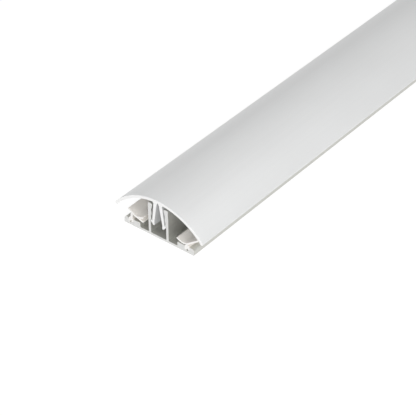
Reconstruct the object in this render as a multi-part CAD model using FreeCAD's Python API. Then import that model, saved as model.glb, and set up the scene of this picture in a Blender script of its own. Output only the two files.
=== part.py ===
"""Snap-together floor cable duct: an arched cover over a flat base channel, with a hinged strip along each edge.

Every profile runs along Y with one constant section. X is across the duct, Z is up, and the origin lies on the
ground under the middle of the base. Sizes are in millimetres.
"""

import FreeCAD
import Part
import math
import os

# Overall sizes
DUCT_LENGTH = 1000.0
BASE_WIDTH = 80.0
COVER_WIDTH = 100.0
COVER_HEIGHT = 41.0  # crown of the arch above the ground
RIM_HEIGHT = 17.6  # the arch's outer face at the cover's full width
COVER_WALL = 2.8

# Base channel
FLOOR = 2.4  # thickness of the flat web
POST_GAP = 17.6  # clear width between the two posts
POST_WALL = 2.6
POST_HEADROOM = 2.2  # between the posts' tops and the arch
HEAD_LEAN = 2.3  # how far each post's head stands in over the channel
BLOCK_WIDTH = 18.7  # each edge block, from the base's outer side inwards
ROOT_FILLET = 0.9
EDGE_ROUND = 0.7

# Snap legs of the cover and the teeth that hold them
LEG_WALL = 2.5  # at the foot
LEG_ROOT_WALL = 3.6  # where the leg leaves the arch
LEG_PLAY = 1.6  # between each leg and the head beside it
LEG_TIP = 12.4  # height of the leg's foot above the ground
BARB_LEDGE = 16.9  # height of the barb's upper face above the ground
BARB_DEPTH = 1.5  # how far the barb stands out from the leg
TOOTH_DEPTH = 0.9  # how far the lower tooth stands out from the post
TOOTH_PITCH = 5.4

# Hinged strips and their sockets
SOCKET_RADIUS = 3.0
SOCKET_WRAP = 28.0  # degrees by which each rim closes in above the pivot
PIVOT_FROM_EDGE = 7.8
STRIP_WALL = 1.6
NECK_WALL = 2.6
LONG_ARM_ANGLE = 47.0  # direction of the long arm's end from the pivot, in degrees
LEFT_BEAD_SLOT = 1.2  # width of the relief slot along each bead
RIGHT_BEAD_SLOT = 2.2

# Fixing holes in the base's floor
SCREW_HOLE_RADIUS = 2.25
SCREW_HEAD_RADIUS = 4.2
SCREW_FROM_END = 50.0
SCREW_COUNT = 4

# Clearances
SNAP_GAP = 0.3  # play of the barbs between the posts and under the teeth
ARM_GAP = 0.3  # between the long arm and the arch
HINGE_GAP = 0.08  # radial, bead in socket

# Places that follow from the sizes
NEAR_END = -DUCT_LENGTH / 2
HALF_COVER = COVER_WIDTH / 2
RISE = COVER_HEIGHT - RIM_HEIGHT
OUTER_RADIUS = (HALF_COVER**2 + RISE**2) / (2 * RISE)
INNER_RADIUS = OUTER_RADIUS - COVER_WALL
ARCH_CENTRE = COVER_HEIGHT - OUTER_RADIUS
POST_INNER = POST_GAP / 2
POST_OUTER = POST_INNER + POST_WALL
POST_HEAD = POST_INNER - HEAD_LEAN
POST_HEIGHT = ARCH_CENTRE + math.sqrt(INNER_RADIUS**2 - POST_OUTER**2) - POST_HEADROOM
TOOTH_LEDGE = BARB_LEDGE + SNAP_GAP
PIVOT_X = BASE_WIDTH / 2 - PIVOT_FROM_EDGE
PIVOT_Z = FLOOR + SOCKET_RADIUS
BLOCK_HEIGHT = PIVOT_Z + SOCKET_RADIUS * math.sin(math.radians(SOCKET_WRAP))


def point(x, z):
    return FreeCAD.Vector(x, NEAR_END, z)


def rounded(corners, closed):
    """Wire through (x, z, radius) corners; a radius of 0 leaves the corner sharp."""
    spots = [point(x, z) for x, z, radius in corners]
    edges = []
    ends = []
    for index, (x, z, radius) in enumerate(corners):
        here = spots[index]
        if radius == 0:
            ends.append((here, here))
            continue
        back = (spots[index - 1] - here).normalize()
        ahead = (spots[(index + 1) % len(spots)] - here).normalize()
        half_angle = back.getAngle(ahead) / 2
        tangent = radius / math.tan(half_angle)
        bulge = radius / math.sin(half_angle) - radius
        arc = Part.Arc(here + back * tangent, here + (back + ahead).normalize() * bulge, here + ahead * tangent)
        ends.append((here + back * tangent, here + ahead * tangent))
        edges.append(arc.toShape())
    last = len(ends) if closed else len(ends) - 1
    for index in range(last):
        start = ends[index][1]
        end = ends[(index + 1) % len(ends)][0]
        edges.append(Part.LineSegment(start, end).toShape())
    return Part.Wire(Part.__sortEdges__(edges))


def along_duct(wire):
    """Extrude a closed outline over the duct's whole length."""
    return Part.Face(wire).extrude(FreeCAD.Vector(0, DUCT_LENGTH, 0))


def profile(corners):
    return along_duct(rounded(corners, closed=True))


def rod(x, z, radius):
    return Part.makeCylinder(radius, DUCT_LENGTH, point(x, z), FreeCAD.Vector(0, 1, 0))


def bent_band(path, wall):
    """Strip of even thickness with round ends, along an open path with at least one bend."""
    return along_duct(rounded(path, closed=False).makeOffset2D(wall / 2))


def straight_band(start, end, wall):
    """The same between two (x, z) points."""
    turn = math.atan2(end[1] - start[1], end[0] - start[0])
    side_x = -math.sin(turn) * wall / 2
    side_z = math.cos(turn) * wall / 2
    flat = profile([
        (start[0] + side_x, start[1] + side_z, 0),
        (start[0] - side_x, start[1] - side_z, 0),
        (end[0] - side_x, end[1] - side_z, 0),
        (end[0] + side_x, end[1] + side_z, 0),
    ])
    return flat.fuse([rod(start[0], start[1], wall / 2), rod(end[0], end[1], wall / 2)])


def other_side(shape):
    return shape.mirror(FreeCAD.Vector(0, 0, 0), FreeCAD.Vector(1, 0, 0))


def both_sides(half):
    return half.fuse(other_side(half)).removeSplitter()


def post_inside():
    """Corners down the inner face of the right-hand post: head, two teeth, and the plain wall below."""
    upper_tooth = TOOTH_LEDGE + TOOTH_PITCH
    head_taper = 1.3
    return [
        (POST_HEAD + head_taper, POST_HEIGHT, 0.5),
        (POST_HEAD, POST_HEIGHT - head_taper, 0.5),
        (POST_INNER - 1.1 * TOOTH_DEPTH, upper_tooth + TOOTH_PITCH, 2),
        (POST_INNER - 1.5 * TOOTH_DEPTH, upper_tooth, 0.12),
        (POST_INNER - 0.7 * TOOTH_DEPTH, upper_tooth, 0),
        (POST_INNER - 0.5 * TOOTH_DEPTH, upper_tooth - TOOTH_PITCH / 2, 2),
        (POST_INNER - TOOTH_DEPTH, TOOTH_LEDGE, 0.12),
        (POST_INNER, TOOTH_LEDGE, 0),
    ]


def screw_holes():
    """Countersunk holes down the middle of the channel floor."""
    pitch = (DUCT_LENGTH - 2 * SCREW_FROM_END) / (SCREW_COUNT - 1)
    sink = SCREW_HEAD_RADIUS - SCREW_HOLE_RADIUS
    up = FreeCAD.Vector(0, 0, 1)
    holes = []
    for index in range(SCREW_COUNT):
        y = NEAR_END + SCREW_FROM_END + index * pitch
        holes.append(Part.makeCylinder(SCREW_HOLE_RADIUS, FLOOR, FreeCAD.Vector(0, y, 0), up))
        top = FreeCAD.Vector(0, y, FLOOR - sink)
        holes.append(Part.makeCone(SCREW_HOLE_RADIUS, SCREW_HEAD_RADIUS, sink, top, up))
    return holes


def base_channel():
    """Extruded base: flat floor, two toothed posts, and an edge block with an open socket on each side."""
    edge = BASE_WIDTH / 2
    block = edge - BLOCK_WIDTH
    lip_round = 0.4 * PIVOT_FROM_EDGE
    half = profile(
        [(0, 0, 0), (edge, 0, EDGE_ROUND), (edge, BLOCK_HEIGHT, lip_round)]
        + [(block, BLOCK_HEIGHT, EDGE_ROUND), (block, FLOOR, ROOT_FILLET)]
        + [(POST_OUTER, FLOOR, ROOT_FILLET), (POST_OUTER, POST_HEIGHT, EDGE_ROUND)]
        + post_inside()
        + [(POST_INNER, FLOOR, ROOT_FILLET), (0, FLOOR, 0)]
    )
    half = half.cut(rod(PIVOT_X, PIVOT_Z, SOCKET_RADIUS))
    return both_sides(half).cut(screw_holes())


def arch_half():
    """Right half of the arched wall, with a round rim."""
    middle_radius = OUTER_RADIUS - COVER_WALL / 2
    rim = math.asin((HALF_COVER - COVER_WALL / 2) / middle_radius)

    def on_arch(radius, angle):
        return point(radius * math.sin(angle), ARCH_CENTRE + radius * math.cos(angle))

    round_end = COVER_WALL / 2 / middle_radius
    edges = [
        Part.Arc(on_arch(OUTER_RADIUS, 0), on_arch(OUTER_RADIUS, rim / 2), on_arch(OUTER_RADIUS, rim)),
        Part.Arc(on_arch(OUTER_RADIUS, rim), on_arch(middle_radius, rim + round_end), on_arch(INNER_RADIUS, rim)),
        Part.Arc(on_arch(INNER_RADIUS, rim), on_arch(INNER_RADIUS, rim / 2), on_arch(INNER_RADIUS, 0)),
        Part.LineSegment(on_arch(INNER_RADIUS, 0), on_arch(OUTER_RADIUS, 0)),
    ]
    return along_duct(Part.Wire([edge.toShape() for edge in edges]))


def snap_leg():
    """Right-hand leg: flared where it leaves the arch, with an outward barb at its foot."""
    root = ARCH_CENTRE + INNER_RADIUS + COVER_WALL / 3
    top = POST_HEAD - LEG_PLAY
    flare = 1.2
    throat = root - COVER_WALL
    barb = POST_INNER - SNAP_GAP
    shank = barb - BARB_DEPTH
    foot = shank - LEG_WALL
    return profile([
        (top - LEG_ROOT_WALL - flare, root, 0),
        (top + flare, root, 0),
        (top, throat, 1.5),
        (shank, BARB_LEDGE, 0.3),
        (barb, BARB_LEDGE, 0.25),
        (barb, BARB_LEDGE - BARB_DEPTH, 0.6),
        (foot + 1.4, LEG_TIP, 0.4),
        (foot, LEG_TIP, 0.4),
        (foot, BARB_LEDGE, 2),
        (top - LEG_ROOT_WALL, throat, 1.2),
    ])


def cover():
    """Extruded cover: arched wall with two snap legs under its middle."""
    return both_sides(arch_half().fuse(snap_leg()))


def from_pivot(x, z, radius=0):
    return (PIVOT_X + x, PIVOT_Z + z, radius)


def polar(distance, degrees):
    """Point at a distance and direction from the right-hand pivot."""
    return from_pivot(distance * math.cos(math.radians(degrees)), distance * math.sin(math.radians(degrees)))


def slotted_bead(slot_width, slot_depth, slot_angle):
    """Round bead with a relief slot cut in from its surface."""
    bead = rod(PIVOT_X, PIVOT_Z, SOCKET_RADIUS - HINGE_GAP)
    slot_end = SOCKET_RADIUS - slot_depth + slot_width / 2
    slot = straight_band(polar(slot_end, slot_angle), polar(2 * SOCKET_RADIUS, slot_angle), slot_width)
    return bead.cut(slot)


def edge_strip(bead, plate_path, neck_ends, prong_path=None):
    """Right-hand plastic strip: a plate on a neck, with a bead that turns in the base's socket."""
    strip = bead.fuse([bent_band(plate_path, STRIP_WALL), straight_band(*neck_ends, NECK_WALL)])
    if prong_path:
        strip = strip.fuse(bent_band(prong_path, STRIP_WALL))
    return strip.removeSplitter()


def right_edge_strip():
    """Strip with its long arm raised to the arch, which it props near the rim."""
    pivot_radius = math.hypot(PIVOT_X, PIVOT_Z - ARCH_CENTRE)
    reach = INNER_RADIUS - pivot_radius - ARM_GAP - STRIP_WALL / 2
    plate = [from_pivot(-10.8, 5.5), from_pivot(-3.6, 1.2, 10), polar(reach, LONG_ARM_ANGLE)]
    neck = [from_pivot(0, 2), from_pivot(0, 3)]
    bead = slotted_bead(RIGHT_BEAD_SLOT, slot_depth=1.6, slot_angle=-84)
    return edge_strip(bead, plate, neck)


def left_edge_strip():
    """Strip with a short outer arm and a forked inner end."""
    plate = [from_pivot(2.4, 11.2), from_pivot(-7.2, 5.9, 30), from_pivot(-14, 3.9)]
    neck = [from_pivot(-0.4, 1.9), from_pivot(-1.4, 8.2)]
    prong = [from_pivot(-4.4, 6.9), from_pivot(-9, 6.7, 8), from_pivot(-14, 8.3)]
    bead = slotted_bead(LEFT_BEAD_SLOT, slot_depth=2.6, slot_angle=-78)
    return other_side(edge_strip(bead, plate, neck, prong))


def main():
    os.makedirs("parts", exist_ok=True)
    parts = {
        "base_channel": base_channel(),
        "cover": cover(),
        "left_edge_strip": left_edge_strip(),
        "right_edge_strip": right_edge_strip(),
    }
    for name, shape in parts.items():
        shape.exportStep(f"parts/{name}.step")
        print(name, "solids", len(shape.Solids), "valid", shape.isValid(), "volume", round(shape.Volume))


main()
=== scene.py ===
import bpy
import math
from mathutils import Matrix, Vector
from mathutils.geometry import delaunay_2d_cdt


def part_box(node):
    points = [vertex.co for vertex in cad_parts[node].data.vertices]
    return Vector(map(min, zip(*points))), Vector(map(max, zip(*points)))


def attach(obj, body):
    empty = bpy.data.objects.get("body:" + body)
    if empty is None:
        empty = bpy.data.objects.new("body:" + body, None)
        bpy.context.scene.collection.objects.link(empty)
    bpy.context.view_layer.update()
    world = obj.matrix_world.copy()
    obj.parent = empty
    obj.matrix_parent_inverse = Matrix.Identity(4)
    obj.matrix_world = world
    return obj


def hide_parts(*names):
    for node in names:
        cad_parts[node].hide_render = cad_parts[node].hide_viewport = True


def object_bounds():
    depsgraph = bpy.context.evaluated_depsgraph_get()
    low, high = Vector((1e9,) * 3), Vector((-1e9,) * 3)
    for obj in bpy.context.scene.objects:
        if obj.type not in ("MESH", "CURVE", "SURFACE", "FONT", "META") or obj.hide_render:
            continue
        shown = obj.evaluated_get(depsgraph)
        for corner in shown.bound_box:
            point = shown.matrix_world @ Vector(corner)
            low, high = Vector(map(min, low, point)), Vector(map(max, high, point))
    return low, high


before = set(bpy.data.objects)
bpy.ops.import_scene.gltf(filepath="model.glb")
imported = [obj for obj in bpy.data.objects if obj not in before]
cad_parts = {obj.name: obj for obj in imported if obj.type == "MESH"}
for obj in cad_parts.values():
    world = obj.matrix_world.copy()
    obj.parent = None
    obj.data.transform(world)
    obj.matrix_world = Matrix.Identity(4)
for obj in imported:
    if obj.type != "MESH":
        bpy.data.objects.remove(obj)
cad_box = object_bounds()


# ---------------------------------------------------------------------------------------------------------
# Stage, lamps and camera
# The duct lies on a white studio floor under an even white sky, with a large soft lamp from the front right,
# where its open end is, and weaker ones over its sides. The camera looks down from the near right.

scene = bpy.context.scene
scene.view_settings.view_transform = "Standard"


def link(tree, output, socket):
    tree.links.new(output, socket)


def new_material(name):
    """Material with its node tree and Principled BSDF."""
    material = bpy.data.materials.new(name)
    material.use_nodes = True
    return material, material.node_tree, material.node_tree.nodes["Principled BSDF"]


def backdrop_ray(tree):
    """1 for rays seen directly, then 1 for all rays that show the backdrop: also mirrored or through."""
    path = tree.nodes.new("ShaderNodeLightPath")
    seen = tree.nodes.new("ShaderNodeMath")
    seen.operation = "MAXIMUM"
    shown = tree.nodes.new("ShaderNodeMath")
    shown.operation = "MAXIMUM"
    link(tree, path.outputs["Is Camera Ray"], seen.inputs[0])
    link(tree, path.outputs["Is Glossy Ray"], seen.inputs[1])
    link(tree, seen.outputs[0], shown.inputs[0])
    link(tree, path.outputs["Is Transmission Ray"], shown.inputs[1])
    return path.outputs["Is Camera Ray"], shown.outputs[0]


sky_strength = 0.55
sky = bpy.data.worlds.new("studio sky")
scene.world = sky
sky.use_nodes = True
sky_light = sky.node_tree.nodes["Background"]
sky_light.inputs["Color"].default_value = (1, 1, 1, 1)
sky_light.inputs["Strength"].default_value = sky_strength
white = sky.node_tree.nodes.new("ShaderNodeBackground")
white.inputs["Color"].default_value = (1, 1, 1, 1)
white.inputs["Strength"].default_value = 1
sky_mix = sky.node_tree.nodes.new("ShaderNodeMixShader")
link(sky.node_tree, backdrop_ray(sky.node_tree)[0], sky_mix.inputs["Fac"])
link(sky.node_tree, sky_light.outputs[0], sky_mix.inputs[1])
link(sky.node_tree, white.outputs[0], sky_mix.inputs[2])
link(sky.node_tree, sky_mix.outputs[0], sky.node_tree.nodes["World Output"].inputs["Surface"])

floor_size = 12
floor_grey = 0.9
floor_roughness = 0.9
glow_strength = 1.05
glow_part = 0.88  # the rest is paint, which keeps the duct's shadow
bpy.ops.mesh.primitive_plane_add(size=floor_size)
floor = bpy.context.object
floor.name = "floor"
floor_paint, tree, bsdf = new_material("white floor")
bsdf.inputs["Base Color"].default_value = (floor_grey, floor_grey, floor_grey, 1)
bsdf.inputs["Roughness"].default_value = floor_roughness
glow = tree.nodes.new("ShaderNodeEmission")
glow.inputs["Strength"].default_value = glow_strength
glow_share = tree.nodes.new("ShaderNodeMath")
glow_share.operation = "MULTIPLY"
glow_share.inputs[1].default_value = glow_part
floor_mix = tree.nodes.new("ShaderNodeMixShader")
link(tree, backdrop_ray(tree)[1], glow_share.inputs[0])
link(tree, glow_share.outputs[0], floor_mix.inputs["Fac"])
link(tree, bsdf.outputs[0], floor_mix.inputs[1])
link(tree, glow.outputs[0], floor_mix.inputs[2])
link(tree, floor_mix.outputs[0], tree.nodes["Material Output"].inputs["Surface"])
floor.data.materials.append(floor_paint)

near_end = cad_box[0][1]
duct_length = cad_box[1][1] - near_end


def soft_lamp(name, direction, distance, size, power):
    """Square lamp that faces the duct's near end from a direction."""
    light = bpy.data.lights.new(name, "AREA")
    light.size = size
    light.energy = power
    lamp = bpy.data.objects.new(name, light)
    scene.collection.objects.link(lamp)
    towards = Vector(direction).normalized()
    lamp.location = Vector((0, near_end, 0)) + towards * distance
    lamp.rotation_euler = towards.to_track_quat("Z", "Y").to_euler()


soft_lamp("right lamp", direction=(0.65, 0, 0.85), distance=1.3, size=1.0, power=5.5)
soft_lamp("front lamp", direction=(0.72, -1, 0.5), distance=2.2, size=1.0, power=27)
soft_lamp("left lamp", direction=(-0.9, -0.5, 0.9), distance=1.4, size=1.0, power=4)

camera_azimuth = math.radians(39.4)
camera_elevation = math.radians(37.34)
camera_roll = math.radians(-0.81)
camera_distance = 1.423
focal_length = 136.6
aim_aside = 0.0064
aim_inside = 0.061
aim = Vector((aim_aside, near_end + aim_inside, 0))
lens = bpy.data.cameras.new("camera")
lens.lens = focal_length
lens.sensor_width = 36
lens.clip_end = 20
camera = bpy.data.objects.new("camera", lens)
scene.collection.objects.link(camera)
back = Vector((
    math.sin(camera_azimuth) * math.cos(camera_elevation),
    -math.cos(camera_azimuth) * math.cos(camera_elevation),
    math.sin(camera_elevation),
))
camera.location = aim + back * camera_distance
turn = back.to_track_quat("Z", "Y").to_matrix() @ Matrix.Rotation(camera_roll, 3, "Z")
camera.rotation_euler = turn.to_euler()
scene.camera = camera


# ---------------------------------------------------------------------------------------------------------
# Base channel
# The flat channel that is fixed to the ground: one aluminium extrusion with two toothed posts and a round
# open socket along each edge, sawn to length and drilled and countersunk for four screws.

mm = 0.001
weld_distance = 1e-6
edge_break = 0.12  # outlines and this are in millimetres, as (x, z) across the duct
round_step = 9  # degrees between the points of a small round


def around(centre, radius, start, end, step=round_step):
    """Points of an arc about a centre, from one angle to another in degrees."""
    count = max(2, math.ceil(abs(end - start) / step))
    points = []
    for index in range(count + 1):
        angle = math.radians(start + (end - start) * index / count)
        points.append(Vector((centre[0] + radius * math.cos(angle), centre[1] + radius * math.sin(angle))))
    return points


def rounded(corners, closed=True):
    """Points of an outline through corners (x, z, radius); a corner without a radius stays sharp."""
    spots = [Vector(corner[:2]) for corner in corners]
    points = []
    for index, corner in enumerate(corners):
        here = spots[index]
        at_end = not closed and index in (0, len(corners) - 1)
        if len(corner) == 2 or corner[2] == 0 or at_end:
            points.append(here)
            continue
        behind = (spots[index - 1] - here).normalized()
        ahead = (spots[(index + 1) % len(spots)] - here).normalized()
        half_angle = behind.angle(ahead) / 2
        centre = here + (behind + ahead).normalized() * corner[2] / math.sin(half_angle)
        first = here + behind * corner[2] / math.tan(half_angle) - centre
        last = here + ahead * corner[2] / math.tan(half_angle) - centre
        sweep = -first.angle_signed(last)
        count = max(2, math.ceil(math.degrees(abs(sweep)) / round_step))
        for step in range(count + 1):
            points.append(centre + Matrix.Rotation(sweep * step / count, 2) @ first)
    return points


def mirrored(points):
    return [Vector((-point.x, point.y)) for point in reversed(points)]


def section_face(name, outlines):
    """Flat face across the near end: the outlines' union, with each rim point's way inwards stored."""
    points = []
    faces = []
    for outline in outlines:
        faces.append(list(range(len(points), len(points) + len(outline))))
        points.extend(outline)
    union = 1
    weld = 1e-5
    flat, _, triangles = delaunay_2d_cdt(points, [], faces, union, weld)[:3]
    mesh = bpy.data.meshes.new(name)
    y = near_end + edge_break * mm
    mesh.from_pydata([(p.x * mm, y, p.y * mm) for p in flat], [], [list(reversed(t)) for t in triangles])
    uses = {}
    for triangle in triangles:
        for start, end in zip(triangle, triangle[1:] + triangle[:1]):
            uses.setdefault(frozenset((start, end)), []).append((start, end))
    right_angle = 2.0  # squared length of both sides' ways in, added; a sharper corner moves no further
    inward = [Vector((0, 0, 0)) for spot in flat]
    for sides in uses.values():
        if len(sides) == 1:
            start, end = sides[0]
            along = (flat[end] - flat[start]).normalized()
            for spot in (start, end):
                inward[spot] += Vector((-along.y, 0, along.x))
    store = mesh.attributes.new("inward", "FLOAT_VECTOR", "POINT")
    for spot, way in enumerate(inward):
        if way.length > 0:
            way = way * 2 / max(way.length_squared, right_angle)
        store.data[spot].vector = way
    return mesh


def geometry_tree(name, sizes):
    """Geometry Nodes tree with named size inputs."""
    tree = bpy.data.node_groups.new(name, "GeometryNodeTree")
    tree.interface.new_socket("Geometry", in_out="INPUT", socket_type="NodeSocketGeometry")
    for label, kind in sizes:
        tree.interface.new_socket(label, in_out="INPUT", socket_type=kind)
    tree.interface.new_socket("Geometry", in_out="OUTPUT", socket_type="NodeSocketGeometry")
    return tree, tree.nodes.new("NodeGroupInput"), tree.nodes.new("NodeGroupOutput")


def along_y(tree, length):
    """Vector of a length along the duct."""
    vector = tree.nodes.new("ShaderNodeCombineXYZ")
    link(tree, length, vector.inputs["Y"])
    return vector.outputs[0]


def drawn(tree, mesh, offset, selection=None):
    """Extrude faces as one region by an offset. Gives the mesh and its moved faces."""
    extrude = tree.nodes.new("GeometryNodeExtrudeMesh")
    extrude.inputs["Individual"].default_value = False
    link(tree, mesh, extrude.inputs["Mesh"])
    link(tree, offset, extrude.inputs["Offset"])
    if selection:
        link(tree, selection, extrude.inputs["Selection"])
    return extrude.outputs["Mesh"], extrude.outputs["Top"]


def extrusion_tree():
    """Draws a flat face along the duct, with the burr taken off the rim of both ends."""
    sizes = [("Length", "NodeSocketFloat"), ("Edge Break", "NodeSocketFloat")]
    sizes += [("Finish", "NodeSocketMaterial")]
    tree, given, result = geometry_tree("extrusion", sizes)
    size = given.outputs["Edge Break"]
    near = tree.nodes.new("ShaderNodeMath")
    near.operation = "MULTIPLY"
    near.inputs[1].default_value = -1
    link(tree, size, near.inputs[0])
    body = tree.nodes.new("ShaderNodeMath")
    body.operation = "MULTIPLY_ADD"
    body.inputs[1].default_value = -2
    link(tree, size, body.inputs[0])
    link(tree, given.outputs["Length"], body.inputs[2])
    inward = tree.nodes.new("GeometryNodeInputNamedAttribute")
    inward.data_type = "FLOAT_VECTOR"
    inward.inputs["Name"].default_value = "inward"
    step_in = tree.nodes.new("ShaderNodeVectorMath")
    step_in.operation = "SCALE"
    link(tree, inward.outputs["Attribute"], step_in.inputs[0])
    link(tree, size, step_in.inputs["Scale"])
    flip = tree.nodes.new("GeometryNodeFlipFaces")
    link(tree, given.outputs["Geometry"], flip.inputs["Mesh"])
    near_rim, near_face = drawn(tree, flip.outputs[0], along_y(tree, near.outputs[0]))
    long_walls, far_face = drawn(tree, given.outputs["Geometry"], along_y(tree, body.outputs[0]))
    far_rim, far_face = drawn(tree, long_walls, along_y(tree, size), far_face)
    join = tree.nodes.new("GeometryNodeJoinGeometry")
    for rim, face in ((near_rim, near_face), (far_rim, far_face)):
        move = tree.nodes.new("GeometryNodeSetPosition")
        link(tree, rim, move.inputs["Geometry"])
        link(tree, face, move.inputs["Selection"])
        link(tree, step_in.outputs[0], move.inputs["Offset"])
        link(tree, move.outputs[0], join.inputs[0])
    merge = tree.nodes.new("GeometryNodeMergeByDistance")
    merge.inputs["Distance"].default_value = weld_distance
    link(tree, join.outputs[0], merge.inputs["Geometry"])
    finish_tree(tree, merge.outputs[0], given, result)
    return tree


def finish_tree(tree, geometry, given, result):
    """Last nodes of every tree: real geometry in its finish."""
    realize = tree.nodes.new("GeometryNodeRealizeInstances")
    paint = tree.nodes.new("GeometryNodeSetMaterial")
    link(tree, geometry, realize.inputs[0])
    link(tree, realize.outputs[0], paint.inputs["Geometry"])
    link(tree, given.outputs["Finish"], paint.inputs["Material"])
    link(tree, paint.outputs[0], result.inputs[0])


def add_tree(piece, tree, values):
    """Put a tree on a piece as a modifier, with its inputs set by name."""
    modifier = piece.modifiers.new(tree.name, "NODES")
    modifier.node_group = tree
    for item in tree.interface.items_tree:
        if item.in_out == "INPUT" and item.name in values:
            modifier[item.identifier] = values[item.name]


def baked(piece, sharp=30):
    """Replace a piece's mesh by its trees' result, smooth over its rounds and sharp at its edges."""
    mesh = bpy.data.meshes.new_from_object(piece.evaluated_get(bpy.context.evaluated_depsgraph_get()))
    piece.modifiers.clear()
    piece.data = mesh
    mesh.attributes.remove(mesh.attributes["inward"])
    mesh.shade_smooth()
    mesh.set_sharp_from_angle(angle=math.radians(sharp))


def extruded(name, outlines, finish):
    """New piece of one cross-section over the duct's length."""
    piece = bpy.data.objects.new(name, section_face(name, outlines))
    scene.collection.objects.link(piece)
    piece.data.materials.append(finish)
    add_tree(piece, extrude_along, {"Length": duct_length, "Edge Break": edge_break * mm, "Finish": finish})
    return piece


def shader_group(name, inputs, outputs):
    """Shader node group with named float inputs and their defaults, and named outputs."""
    tree = bpy.data.node_groups.new(name, "ShaderNodeTree")
    for label, default in inputs:
        socket = tree.interface.new_socket(label, in_out="INPUT", socket_type="NodeSocketFloat")
        socket.default_value = default
    for label in outputs:
        tree.interface.new_socket(label, in_out="OUTPUT", socket_type="NodeSocketFloat")
    return tree, tree.nodes.new("NodeGroupInput"), tree.nodes.new("NodeGroupOutput")


def value_range(tree, value, from_low, from_high, to_low, to_high):
    """Value mapped from one range to another."""
    node = tree.nodes.new("ShaderNodeMapRange")
    for socket, number in zip(node.inputs[1:5], (from_low, from_high, to_low, to_high)):
        if isinstance(number, (int, float)):
            socket.default_value = number
        else:
            link(tree, number, socket)
    link(tree, value, node.inputs[0])
    return node.outputs[0]


def noise(tree, stretch, detail, roughness=0.5):
    """Noise over the piece with its own number of features per metre on each axis."""
    place = tree.nodes.new("ShaderNodeTexCoord")
    mapping = tree.nodes.new("ShaderNodeMapping")
    mapping.inputs["Scale"].default_value = stretch
    texture = tree.nodes.new("ShaderNodeTexNoise")
    texture.inputs["Scale"].default_value = 1
    texture.inputs["Detail"].default_value = detail
    texture.inputs["Roughness"].default_value = roughness
    link(tree, place.outputs["Object"], mapping.inputs["Vector"])
    link(tree, mapping.outputs[0], texture.inputs["Vector"])
    return texture.outputs["Fac"]


def sawn_end_group():
    """Where a piece was sawn across, and the fine curved marks that the blade leaves there."""
    tree, given, result = shader_group("sawn ends", [("Mark Pitch", 0.0007)], ["Sawn", "Marks"])
    shape = tree.nodes.new("ShaderNodeNewGeometry")
    axes = tree.nodes.new("ShaderNodeSeparateXYZ")
    size = tree.nodes.new("ShaderNodeMath")
    size.operation = "ABSOLUTE"
    link(tree, shape.outputs["Normal"], axes.inputs[0])
    link(tree, axes.outputs["Y"], size.inputs[0])
    skin_slope = 0.55
    end_slope = 0.85
    sawn = value_range(tree, size.outputs[0], skin_slope, end_slope, 0, 1)
    link(tree, sawn, result.inputs["Sawn"])
    place = tree.nodes.new("ShaderNodeTexCoord")
    from_blade = tree.nodes.new("ShaderNodeVectorMath")
    from_blade.operation = "MULTIPLY_ADD"
    from_blade.inputs[1].default_value = (1, 0, 1)
    from_blade.inputs[2].default_value = (0.09, 0, 0.16)  # a blade of about 350 mm, centred past the cover
    reach = tree.nodes.new("ShaderNodeVectorMath")
    reach.operation = "LENGTH"
    link(tree, place.outputs["Object"], from_blade.inputs[0])
    link(tree, from_blade.outputs[0], reach.inputs[0])
    turns = tree.nodes.new("ShaderNodeMath")
    turns.operation = "DIVIDE"
    link(tree, reach.outputs["Value"], turns.inputs[0])
    link(tree, given.outputs["Mark Pitch"], turns.inputs[1])
    wander = tree.nodes.new("ShaderNodeMath")
    wander.operation = "MULTIPLY_ADD"
    unevenness = 3
    wander.inputs[1].default_value = unevenness
    link(tree, noise(tree, (300, 300, 300), 2), wander.inputs[0])
    link(tree, turns.outputs[0], wander.inputs[2])
    wave = tree.nodes.new("ShaderNodeMath")
    wave.operation = "SINE"
    link(tree, wander.outputs[0], wave.inputs[0])
    marks = tree.nodes.new("ShaderNodeMath")
    marks.operation = "MULTIPLY"
    link(tree, wave.outputs[0], marks.inputs[0])
    link(tree, sawn, marks.inputs[1])
    link(tree, marks.outputs[0], result.inputs["Marks"])
    return tree


def die_line_group():
    """Fine lines that the die draws along an extrusion, as a height and as a tone about 0."""
    tree, given, result = shader_group("die lines", [("Strength", 1)], ["Height", "Tone"])
    fine = noise(tree, (2600, 1.5, 2600), 2, 0.6)
    broad = noise(tree, (260, 0.6, 260), 2)
    both = tree.nodes.new("ShaderNodeMath")
    both.operation = "ADD"
    link(tree, fine, both.inputs[0])
    link(tree, broad, both.inputs[1])
    centred = tree.nodes.new("ShaderNodeMath")
    centred.operation = "SUBTRACT"
    centred.inputs[1].default_value = 1
    link(tree, both.outputs[0], centred.inputs[0])
    scaled = tree.nodes.new("ShaderNodeMath")
    scaled.operation = "MULTIPLY"
    link(tree, centred.outputs[0], scaled.inputs[0])
    link(tree, given.outputs["Strength"], scaled.inputs[1])
    for label in ("Tone", "Height"):
        link(tree, scaled.outputs[0], result.inputs[label])
    return tree


def handling_group():
    """Soft uneven patches left by hands and packing, about 0."""
    tree, given, result = shader_group("handling", [("Strength", 1)], ["Patches"])
    patches = value_range(tree, noise(tree, (22, 9, 22), 3), 0.3, 0.7, -1, 1)
    scaled = tree.nodes.new("ShaderNodeMath")
    scaled.operation = "MULTIPLY"
    link(tree, patches, scaled.inputs[0])
    link(tree, given.outputs["Strength"], scaled.inputs[1])
    link(tree, scaled.outputs[0], result.inputs["Patches"])
    return tree


extrude_along = extrusion_tree()
sawn_ends = sawn_end_group()
die_lines = die_line_group()
handling = handling_group()


def effect(tree, group, values):
    """Place a shared effect in a material, with its own values."""
    node = tree.nodes.new("ShaderNodeGroup")
    node.node_tree = group
    for label, value in values.items():
        node.inputs[label].default_value = value
    return node.outputs


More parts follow.
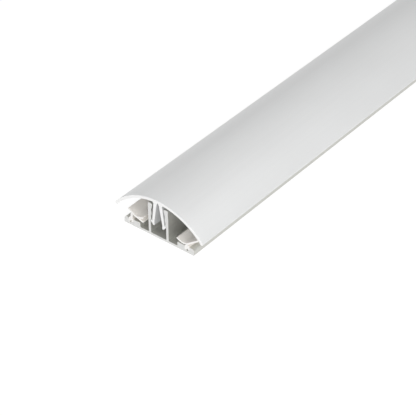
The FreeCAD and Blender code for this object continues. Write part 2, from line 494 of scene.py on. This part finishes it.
def toned(tree, colour, amounts):
    """Colour made lighter or darker by the sum of (amount, share) pairs about 0."""
    total = None
    for amount, share in amounts:
        node = tree.nodes.new("ShaderNodeMath")
        node.operation = "MULTIPLY_ADD"
        node.inputs[1].default_value = share
        node.inputs[2].default_value = 1
        link(tree, amount, node.inputs[0])
        if total is not None:
            link(tree, total, node.inputs[2])
        total = node.outputs[0]
    scaled = tree.nodes.new("ShaderNodeVectorMath")
    scaled.operation = "SCALE"
    scaled.inputs[0].default_value = colour
    link(tree, total, scaled.inputs["Scale"])
    return scaled.outputs[0]


def blended(tree, share, first, second):
    """Colour mix; the second colour may be a plain one."""
    mix = tree.nodes.new("ShaderNodeMix")
    mix.data_type = "RGBA"
    link(tree, share, mix.inputs["Factor"])
    link(tree, first, mix.inputs[6])
    if isinstance(second, tuple):
        mix.inputs[7].default_value = (*second, 1)
    else:
        link(tree, second, mix.inputs[7])
    return mix.outputs[2]


def bumped(tree, bsdf, layers):
    """Stack heights, given as (height, depth in metres), into the shader's normal."""
    normal = None
    for height, depth in layers:
        bump = tree.nodes.new("ShaderNodeBump")
        bump.inputs["Strength"].default_value = 1
        bump.inputs["Distance"].default_value = depth
        link(tree, height, bump.inputs["Height"])
        if normal is not None:
            link(tree, normal, bump.inputs["Normal"])
        normal = bump.outputs[0]
    link(tree, normal, bsdf.inputs["Normal"])


def aluminium(name, colour, sawn_and_lit_colour, roughness, metallic, line_tone, line_depth, mark_depth):
    """Extruded aluminium: drawn lines along it, soft patches, and sawn ends with saw marks and a lighter
    colour, which is painted light from the front lamp.
    """
    material, tree, bsdf = new_material(name)
    lines = effect(tree, die_lines, {"Strength": 1})
    patches = effect(tree, handling, {"Strength": 1})["Patches"]
    ends = effect(tree, sawn_ends, {"Mark Pitch": 0.00012})
    patch_tone = 0.012
    mark_tone = 0.02
    gloss_spread = 0.03
    sawn_roughness = 0.6
    skin = toned(tree, colour, [(lines["Tone"], line_tone), (patches, patch_tone)])
    # Sawn ends: the saw marks are real. Their lighter colour is painted light, standing in for the front
    # lamp falling on the ends.
    face = toned(tree, sawn_and_lit_colour, [(ends["Marks"], mark_tone)])
    link(tree, blended(tree, ends["Sawn"], skin, face), bsdf.inputs["Base Color"])
    gloss = value_range(tree, patches, -1, 1, roughness - gloss_spread, roughness + gloss_spread)
    link(tree, value_range(tree, ends["Sawn"], 0, 1, gloss, sawn_roughness), bsdf.inputs["Roughness"])
    bsdf.inputs["Metallic"].default_value = metallic
    bumped(tree, bsdf, [(lines["Height"], line_depth), (ends["Marks"], mark_depth)])
    return material


# The base's sawn-end colour is lighter than its skin: painted light from the front lamp.
base_finish = aluminium(
    "mill finish aluminium", colour=(0.62, 0.62, 0.585), sawn_and_lit_colour=(0.69, 0.69, 0.68), roughness=0.5,
    metallic=0.75, line_tone=0.12, line_depth=0.00001, mark_depth=0.000004,
)

base_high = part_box("base_channel")[1]
cover_low, cover_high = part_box("cover")
half_base = base_high.x / mm
post_height = base_high.z / mm
web = 2.4
post_inner = 8.8
post_outer = 11.4
post_head = 6.5
head_taper = 1.3
barb_ledge = 16.9
snap_gap = 0.3
tooth = 0.9
tooth_pitch = 5.4
lower_tooth = barb_ledge + snap_gap
upper_tooth = lower_tooth + tooth_pitch
socket_radius = 3
socket_wrap = 28
socket_inset = 7.8
block_width = 18.7
lip_round = 3.12
edge_round = 0.7
root_round = 0.9
tooth_round = 0.12
hollow_round = 2
pivot = (half_base - socket_inset, web + socket_radius)
block_top = pivot[1] + socket_radius * math.sin(math.radians(socket_wrap))
block_inner = half_base - block_width
post_faces = [
    (post_outer, post_height, edge_round),
    (post_head + head_taper, post_height, 0.5),
    (post_head, post_height - head_taper, 0.5),
    (post_inner - 1.1 * tooth, upper_tooth + tooth_pitch, hollow_round),
    (post_inner - 1.5 * tooth, upper_tooth, tooth_round),
    (post_inner - 0.7 * tooth, upper_tooth),
    (post_inner - 0.5 * tooth, upper_tooth - tooth_pitch / 2, hollow_round),
    (post_inner - tooth, lower_tooth, tooth_round),
    (post_inner, lower_tooth),
    (post_inner, web, root_round),
    (0, web),
]
edge_side = rounded([
    (0, 0),
    (half_base, 0, edge_round),
    (half_base, block_top, lip_round),
    (pivot[0], block_top),
])[:-1]
socket = around(pivot, socket_radius, socket_wrap, -180 - socket_wrap)
inner_side = rounded(
    [
        (pivot[0], block_top),
        (block_inner, block_top, edge_round),
        (block_inner, web, root_round),
        (post_outer, web, root_round),
    ]
    + post_faces
)[1:]
base_half = edge_side + socket + inner_side
base = extruded("base_channel_body", [base_half[1:-1] + mirrored(base_half)[1:-1]], base_finish)


def screw_hole_tree():
    """Cuts a row of countersunk holes along the duct."""
    sizes = [("Holes", "NodeSocketInt"), ("First Hole", "NodeSocketFloat"), ("Pitch", "NodeSocketFloat")]
    sizes += [("Hole Radius", "NodeSocketFloat"), ("Head Radius", "NodeSocketFloat")]
    sizes += [("Floor", "NodeSocketFloat"), ("Finish", "NodeSocketMaterial")]
    tree, given, result = geometry_tree("screw holes", sizes)
    drill_sides = 48
    drill_length = 0.02
    row = tree.nodes.new("GeometryNodeMeshLine")
    link(tree, given.outputs["Holes"], row.inputs["Count"])
    link(tree, along_y(tree, given.outputs["First Hole"]), row.inputs["Start Location"])
    link(tree, along_y(tree, given.outputs["Pitch"]), row.inputs["Offset"])
    bore = tree.nodes.new("GeometryNodeMeshCylinder")
    bore.inputs["Vertices"].default_value = drill_sides
    bore.inputs["Depth"].default_value = drill_length
    link(tree, given.outputs["Hole Radius"], bore.inputs["Radius"])
    sink = tree.nodes.new("GeometryNodeMeshCone")
    sink.inputs["Vertices"].default_value = drill_sides
    sink.inputs["Radius Bottom"].default_value = 0
    link(tree, given.outputs["Head Radius"], sink.inputs["Depth"])
    link(tree, given.outputs["Head Radius"], sink.inputs["Radius Top"])
    lift = tree.nodes.new("ShaderNodeMath")
    lift.operation = "SUBTRACT"
    link(tree, given.outputs["Floor"], lift.inputs[0])
    link(tree, given.outputs["Head Radius"], lift.inputs[1])
    height = tree.nodes.new("ShaderNodeCombineXYZ")
    link(tree, lift.outputs[0], height.inputs["Z"])
    raised = tree.nodes.new("GeometryNodeTransform")
    link(tree, sink.outputs["Mesh"], raised.inputs["Geometry"])
    link(tree, height.outputs[0], raised.inputs["Translation"])
    work = given.outputs["Geometry"]
    for cutter in (bore.outputs["Mesh"], raised.outputs[0]):
        copies = tree.nodes.new("GeometryNodeInstanceOnPoints")
        cut = tree.nodes.new("GeometryNodeMeshBoolean")
        cut.operation = "DIFFERENCE"
        cut.solver = "EXACT"
        link(tree, row.outputs["Mesh"], copies.inputs["Points"])
        link(tree, cutter, copies.inputs["Instance"])
        link(tree, work, cut.inputs["Mesh 1"])
        link(tree, copies.outputs[0], cut.inputs["Mesh 2"])
        work = cut.outputs["Mesh"]
    finish_tree(tree, work, given, result)
    return tree


hole_from_end = 0.05
hole_count = 4
hole_pitch = (duct_length - 2 * hole_from_end) / (hole_count - 1)
hole_radius = 2.25
head_radius = 4.2
add_tree(base, screw_hole_tree(), {
    "Holes": hole_count, "First Hole": near_end + hole_from_end, "Pitch": hole_pitch,
    "Hole Radius": hole_radius * mm, "Head Radius": head_radius * mm,
    "Floor": web * mm, "Finish": base_finish,
})
baked(base)
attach(base, "base")
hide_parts("base_channel")


# ---------------------------------------------------------------------------------------------------------
# Cover
# The arched lid that people walk on: a satin anodised aluminium extrusion with two barbed legs under its
# middle, which spring between the base's posts and catch under their teeth.

# The cover's sawn-end colour is a little lighter than its skin: painted light from the front lamp.
cover_finish = aluminium(
    "satin anodised aluminium", colour=(0.74, 0.745, 0.745), sawn_and_lit_colour=(0.77, 0.77, 0.765), roughness=0.46,
    metallic=0.35, line_tone=0.035, line_depth=0.000003, mark_depth=0.000004,
)

cover_wall = 2.8
half_cover = cover_high.x / mm
cover_height = cover_high.z / mm
rim_level = 17.6
rise = cover_height - rim_level
outer_radius = (half_cover**2 + rise**2) / (2 * rise)
middle_radius = outer_radius - cover_wall / 2
inner_radius = outer_radius - cover_wall
arch_centre = (0, cover_height - outer_radius)
rim = math.asin((half_cover - cover_wall / 2) / middle_radius)
rim_angle = 90 - math.degrees(rim)
rim_centre = (middle_radius * math.sin(rim), arch_centre[1] + middle_radius * math.cos(rim))
right_rim = around(rim_centre, cover_wall / 2, rim_angle - 180, rim_angle)[1:-1]
arch = (
    around(arch_centre, inner_radius, 180 - rim_angle, rim_angle, step=1)
    + right_rim
    + around(arch_centre, outer_radius, rim_angle, 180 - rim_angle, step=1)
    + mirrored(right_rim)
)

leg_root = arch_centre[1] + inner_radius + cover_wall / 3
leg_throat = leg_root - cover_wall
leg_top = post_head - 1.6
leg_root_wall = 3.6
leg_flare = 1.2
barb_depth = 1.5
barb = post_inner - snap_gap
shank = barb - barb_depth
foot = shank - 2.5
leg_tip = cover_low.z / mm
leg = rounded([
    (leg_top - leg_root_wall - leg_flare, leg_root),
    (leg_top + leg_flare, leg_root),
    (leg_top, leg_throat, 1.5),
    (shank, barb_ledge, 0.3),
    (barb, barb_ledge, 0.25),
    (barb, barb_ledge - barb_depth, 0.6),
    (foot + 1.4, leg_tip, 0.4),
    (foot, leg_tip, 0.4),
    (foot, barb_ledge, 2),
    (leg_top - leg_root_wall, leg_throat, 1.2),
])
cover = extruded("cover_body", [arch, leg, mirrored(leg)], cover_finish)
baked(cover)
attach(cover, "cover")
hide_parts("cover")


# ---------------------------------------------------------------------------------------------------------
# Edge strips
# Two different extrusions of pale matt plastic that close the duct's side bays. Each turns on a slotted
# bead that is slid into the base's round socket from the end.

strip_finish, tree, bsdf = new_material("pale matt plastic")
ends = effect(tree, sawn_ends, {"Mark Pitch": 0.00016})
lines = effect(tree, die_lines, {"Strength": 1})
patches = effect(tree, handling, {"Strength": 1})["Patches"]
strip_colour = (0.78, 0.75, 0.71)
sawn_strip_colour = (0.72, 0.71, 0.695)
skin = toned(tree, strip_colour, [(lines["Tone"], 0.06), (patches, 0.03)])
face = toned(tree, sawn_strip_colour, [(ends["Marks"], 0.02)])
link(tree, blended(tree, ends["Sawn"], skin, face), bsdf.inputs["Base Color"])
link(tree, value_range(tree, patches, -1, 1, 0.5, 0.6), bsdf.inputs["Roughness"])
pores = noise(tree, (4000, 4000, 4000), 2)
bumped(tree, bsdf, [(lines["Height"], 0.000006), (pores, 0.000008)])

strip_wall = 1.6
neck_wall = 2.6
bead_gap = 0.08
cover_gap = 0.3
bead_radius = socket_radius - bead_gap


def band(path, wall):
    """Outline of even thickness with round ends, along an open path through (x, z, radius) corners."""
    line = rounded(path, closed=False)
    ways = [(after - before).normalized() for before, after in zip(line, line[1:])]
    right_side = []
    left_side = []
    for index, spot in enumerate(line):
        way = (ways[max(index - 1, 0)] + ways[min(index, len(ways) - 1)]).normalized()
        aside = Vector((-way.y, way.x)) * wall / 2
        left_side.append(spot + aside)
        right_side.append(spot - aside)
    start_angle = math.degrees(math.atan2(ways[0].y, ways[0].x))
    end_angle = math.degrees(math.atan2(ways[-1].y, ways[-1].x))
    end_round = around(line[-1], wall / 2, end_angle - 90, end_angle + 90, step=15)[1:-1]
    start_round = around(line[0], wall / 2, start_angle + 90, start_angle + 270, step=15)[1:-1]
    return right_side + end_round + left_side[::-1] + start_round


def slotted_bead(slot_width, slot_depth, slot_angle):
    """Outline of a round bead about (0, 0), with a round-ended slot cut in from its surface."""
    half_slot = math.degrees(math.asin(slot_width / 2 / bead_radius))
    rim = around((0, 0), bead_radius, slot_angle + half_slot, slot_angle + 360 - half_slot)
    slot_end = socket_radius - slot_depth + slot_width / 2
    outwards = Vector((math.cos(math.radians(slot_angle)), math.sin(math.radians(slot_angle))))
    return rim + around(outwards * slot_end, slot_width / 2, slot_angle - 90, slot_angle - 270)


def strip_outlines(bead, neck, bands):
    """Outlines of a right-hand strip about its pivot, moved to its place on the duct."""
    outlines = [bead, band(neck, neck_wall)] + [band(path, strip_wall) for path in bands]
    return [[point + Vector(pivot) for point in outline] for outline in outlines]


pivot_radius = math.hypot(pivot[0], pivot[1] - arch_centre[1])
long_arm = inner_radius - pivot_radius - cover_gap - strip_wall / 2
long_arm_angle = math.radians(47)
long_arm_end = (long_arm * math.cos(long_arm_angle), long_arm * math.sin(long_arm_angle))
right_outlines = strip_outlines(
    slotted_bead(2.2, slot_depth=1.6, slot_angle=-84),
    neck=[(0, 2), (0, 3)],
    bands=[[(-10.8, 5.5), (-3.6, 1.2, 10), long_arm_end]],
)
left_outlines = strip_outlines(
    slotted_bead(1.2, slot_depth=2.6, slot_angle=-78),
    neck=[(-0.4, 1.9), (-1.4, 8.2)],
    bands=[[(2.4, 11.2), (-7.2, 5.9, 30), (-14, 3.9)], [(-4.4, 6.9), (-9, 6.7, 8), (-14, 8.3)]],
)
for side, outlines in (("right", right_outlines), ("left", [mirrored(o) for o in left_outlines])):
    strip = extruded(f"{side}_strip_body", outlines, strip_finish)
    baked(strip)
    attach(strip, f"{side}_strip")
    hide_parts(f"{side}_edge_strip")
